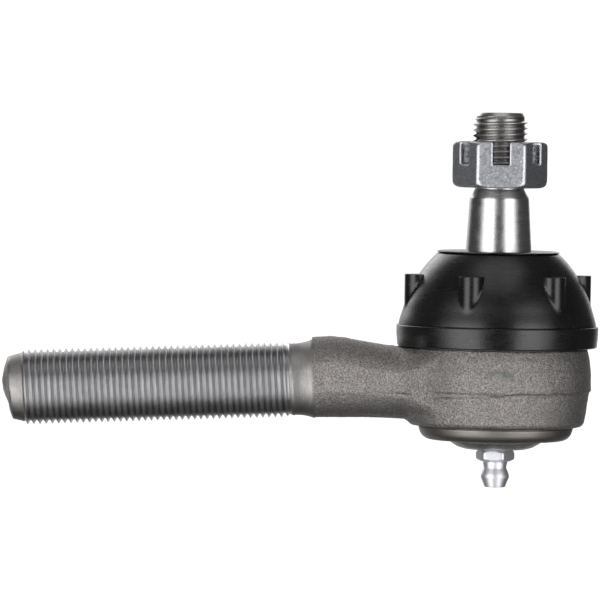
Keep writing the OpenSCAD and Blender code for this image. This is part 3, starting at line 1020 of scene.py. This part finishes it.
def boot_inner_outline():
    """From the moulding line above the skirt, round its lower edge and up the inner wall to the top."""
    top, bottom = BOOT_HIGH[2], BOOT_LOW[2]
    seam = dome(SKIRT_TOP)
    band = softened([(dome(SKIRT_TOP + 0.14), SKIRT_TOP + 0.14), (seam - 0.16, SKIRT_TOP + 0.03),
                     (seam - 0.14, SKIRT_TOP - 0.05), (SKIRT_R - 0.1, SKIRT_TOP - 0.08),
                     (SKIRT_R, SKIRT_TOP - 0.3), (SKIRT_R - 0.02, -19), (SKIRT_R - 0.25, bottom + 0.25),
                     (SKIRT_R - 0.5, bottom), (SHOULDER_FIT_R + 0.1, bottom), (SHOULDER_FIT_R, bottom + 0.15),
                     (SHOULDER_FIT_R, -21.3), (RING_GROOVE_R, -21.3), (RING_GROOVE_R, -16.8),
                     (SHOULDER_FIT_R, -16.8), (SHOULDER_FIT_R, -16.1), (19.3, -16.05)], 0.12, 2)
    wall = [(dome(z, DOME_R - BOOT_WALL), z) for z in np.linspace(-15.5, -3.4, 12)]
    hole = NECK_HOLE_R
    neck = [(12.2, -3.2), (8.2, -3.2), (7.6, -3.15), (hole, -2.9), (hole, top - 0.2), (7.75, top)]
    rim = [(9, top), (13.2, top), (13.6, top - 0.02)]
    return [*band, *wall, *neck, *rim]


def boot():
    """The moulded boot: a dome with six lugs, a skirt band with a moulding line, and its inner wall."""
    angles, from_lug = boot_angles()
    wide = len(angles)
    rows = dome_rows(angles, from_lug)
    rows += [(np.full(wide, float(r)), np.full(wide, float(z))) for r, z in boot_inner_outline()]
    points = [np.column_stack([r * np.cos(angles), r * np.sin(angles), z]) for r, z in rows]
    obj = add_mesh("boot", np.vstack(points), tube_faces(len(rows), wide, closed=True), 42)
    give(obj, rubber_material())
    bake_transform(obj)
    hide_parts("dust_boot")


def seal_washer():
    """The thin disc on the boot's top, a little dished."""
    low, high, r, hole_r = WASHER_LOW[2], WASHER_HIGH[2], WASHER_HIGH[0], 7.62
    outline = softened([(hole_r, low), (r - 0.5, low), (r - 0.02, low + 0.16), (r, high - 0.16),
                        (r - 0.4, high - 0.02), (12.5, high - 0.06), (8.1, high - 0.02),
                        (hole_r, high - 0.05)], 0.12, 3, closed=True)
    obj = turned("seal_washer", outline, 160, closed=True)
    give(obj, rubber_material("seal_washer_black", 0.01))
    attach(obj, "boot_neck")
    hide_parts("boot_seal_washer")


# ---- springs

def coil(name, node, r_low, r_high, wire_r, turns, flat_ends):
    """A coil of round wire as tall as a CAD spring, and its two heights in metres. flat_ends is the share of
    it wound flat at each end."""
    low, high = node_box(node)
    steps, sides = 44 * turns, 14
    t = np.linspace(0, 1, steps + 1)
    rise = np.clip((t - flat_ends) / (1 - 2 * flat_ends), 0, 1)
    middle = low[2] + wire_r + (high[2] - low[2] - 2 * wire_r) * rise
    radius = r_low + (r_high - r_low) * t
    turn = math.tau * turns * t
    round_wire = np.arange(sides) / sides * math.tau
    past = np.clip(np.abs(2 * t - 1) - 0.985, 0, 1) / 0.016
    size = wire_r * np.sqrt(np.clip(1 - past ** 2, 0.02, 1))
    r = radius[:, None] + size[:, None] * np.cos(round_wire)
    z = middle[:, None] + size[:, None] * np.sin(round_wire)
    x, y = r * np.cos(turn)[:, None], r * np.sin(turn)[:, None]
    points = np.stack([x, y, z], 2).reshape(-1, 3)
    ends = [list(range(sides)), list(range(steps * sides, (steps + 1) * sides))[::-1]]
    obj = add_mesh(name, points, ends + tube_faces(steps + 1, sides), 50)
    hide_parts(node)
    return obj, low[2] * MM, high[2] * MM


def springs():
    """The two springs, each as tall as its CAD spring."""
    wire = plain_steel_material("drawn_spring_wire", (0.40, 0.41, 0.43), 0.3)
    cone, low, high = coil("preload_cone_spring", "preload_spring", 5.6, 8.2, 0.6, 2, 0.1)
    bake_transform(cone)
    check, low, high = coil("check_coil_spring", "fitting_check_spring", 1.15, 1.15, 0.17, 5, 0.0)
    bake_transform(check)
    for obj in (cone, check):
        give(obj, wire)


# ---- pieces kept from the frame

def finish_inner_pieces():
    bearing = plain_steel_material("sintered_bearing", (0.40, 0.37, 0.32), 0.5)
    looks = {"upper_bearing": bearing, "lower_bearing": bearing,
             "fitting_check_ball": plain_steel_material("polished_check_ball", (0.72, 0.73, 0.76), 0.14),
             "boot_ring": plain_steel_material("pressed_ring_steel", (0.35, 0.36, 0.37), 0.4)}
    for node, material in looks.items():
        give(frame["nodes"][node], material)


# ---- stage, light, camera

def pale_floor():
    """A plain pale floor below the part, which gives no light or reflection to it."""
    size, drop = 6.0, 60 * MM
    bpy.ops.mesh.primitive_plane_add(size=size, location=(0, 0, CAD_LOW[2] - drop))
    floor = bpy.context.active_object
    floor.name = "floor"
    n = Nodes("pale_floor", specular=0.1)
    n.feed((1, 1, 1), n.shader.inputs["Emission Color"])
    n.feed(0.62, n.shader.inputs["Emission Strength"])
    give(floor, n.finish(n.ramp(n.noise(400, 2), [(0.3, 0.9), (0.7, 0.93)]), 0.9))
    floor.visible_diffuse = floor.visible_glossy = False


def studio_light():
    """Two tall soft boxes in front with a dark gap between them, a weaker panel above, and a backdrop behind
    with two brighter patches in it. The camera sees plain white."""
    world = bpy.data.worlds.new("studio")
    bpy.context.scene.world = world
    g = Graph(world)
    g.tree.nodes.clear()

    def window(value, low, high, soft, soft_high=None):
        """1 where value lies between low and high, with soft edges."""
        result = []
        for edge, sign, blur in ((low, 1, soft), (high, -1, soft_high or soft)):
            start, end = edge - blur * sign, edge + blur * sign
            result.append(g.map(value, start, end, interpolation_type="SMOOTHSTEP"))
        return g.times(*result)

    parts = g.node("SeparateXYZ")
    g.link(g.node("TexCoord").outputs["Generated"], parts.inputs["Vector"])
    x, y, z = parts.outputs
    turn = g.times(g.math("ARCTAN2", x, g.times(y, -1)), 180 / math.pi)
    rise = g.times(g.math("ARCSINE", z), 180 / math.pi)
    sideways = g.math("DIVIDE", g.math("ABSOLUTE", x), g.math("MAXIMUM", z, 0.05))
    tall = window(rise, -50, 27, 13)
    low_down = window(rise, -34, 34, 8)
    patch = window(rise, 10, 52, 8)
    panel = g.times(window(sideways, -1, 0.45, 0.1), window(rise, 49, 87, 6))
    ambient = 0.085
    total = ambient
    # Each light's strength, and its place: turns from the front and rises, in degrees
    for strength, area in (
        (3.6, g.times(window(turn, -62, -19, 16, 5), tall)),
        (3.6, g.times(window(turn, 21, 58, 5, 16), tall)),
        (1.2, g.times(panel, window(g.math("ABSOLUTE", turn), -1, 80, 15))),
        (1.0, g.times(window(turn, -300, -140, 8), low_down)),
        (1.0, g.times(window(turn, 155, 300, 8), low_down)),
        (2.2, g.times(window(turn, -168, -134, 7), patch)),
        (1.6, g.times(window(turn, 158, 176, 6), patch)),
    ):
        total = g.math("ADD", total, g.times(area, strength))
    light = g.node("Background")
    g.link(total, light.inputs["Strength"])
    white = g.node("Background")
    g.feed((1, 1, 1), white.inputs["Color"])
    g.feed(1.05, white.inputs["Strength"])
    pick = g.node("MixShader")
    g.link(g.node("LightPath").outputs["Is Camera Ray"], pick.inputs["Fac"])
    g.link(light.outputs["Background"], pick.inputs[1])
    g.link(white.outputs["Background"], pick.inputs[2])
    g.link(pick.outputs["Shader"], g.node("OutputWorld").inputs["Surface"])


def camera():
    """A long lens at the picture's angle: straight on to the shank, two degrees above it, leaned a little."""
    lens, sensor, elevation, lean = 400, 36, 2.0, 0.9
    wide = 136.7 * MM
    aim = Vector((-45.04 * MM, 0, -11.89 * MM))
    distance = wide / 2 / (sensor / 2 / lens)
    data = bpy.data.cameras.new("camera")
    data.lens, data.sensor_width = lens, sensor
    data.clip_start, data.clip_end = 0.05, 50
    obj = bpy.data.objects.new("camera", data)
    bpy.context.scene.collection.objects.link(obj)
    up = math.radians(elevation)
    back = Vector((0, -math.cos(up), math.sin(up)))
    turn = (-back).to_track_quat("-Z", "Y").to_matrix().to_4x4() @ Matrix.Rotation(math.radians(lean), 4, "Z")
    obj.matrix_world = Matrix.Translation(aim + back * distance) @ turn
    bpy.context.scene.camera = obj


bpy.context.scene.view_settings.view_transform = "Standard"
camera()
pale_floor()
studio_light()
socket_forging()
cover()
fitting()
stud()
slotted_nut()
boot()
seal_washer()
springs()
finish_inner_pieces()
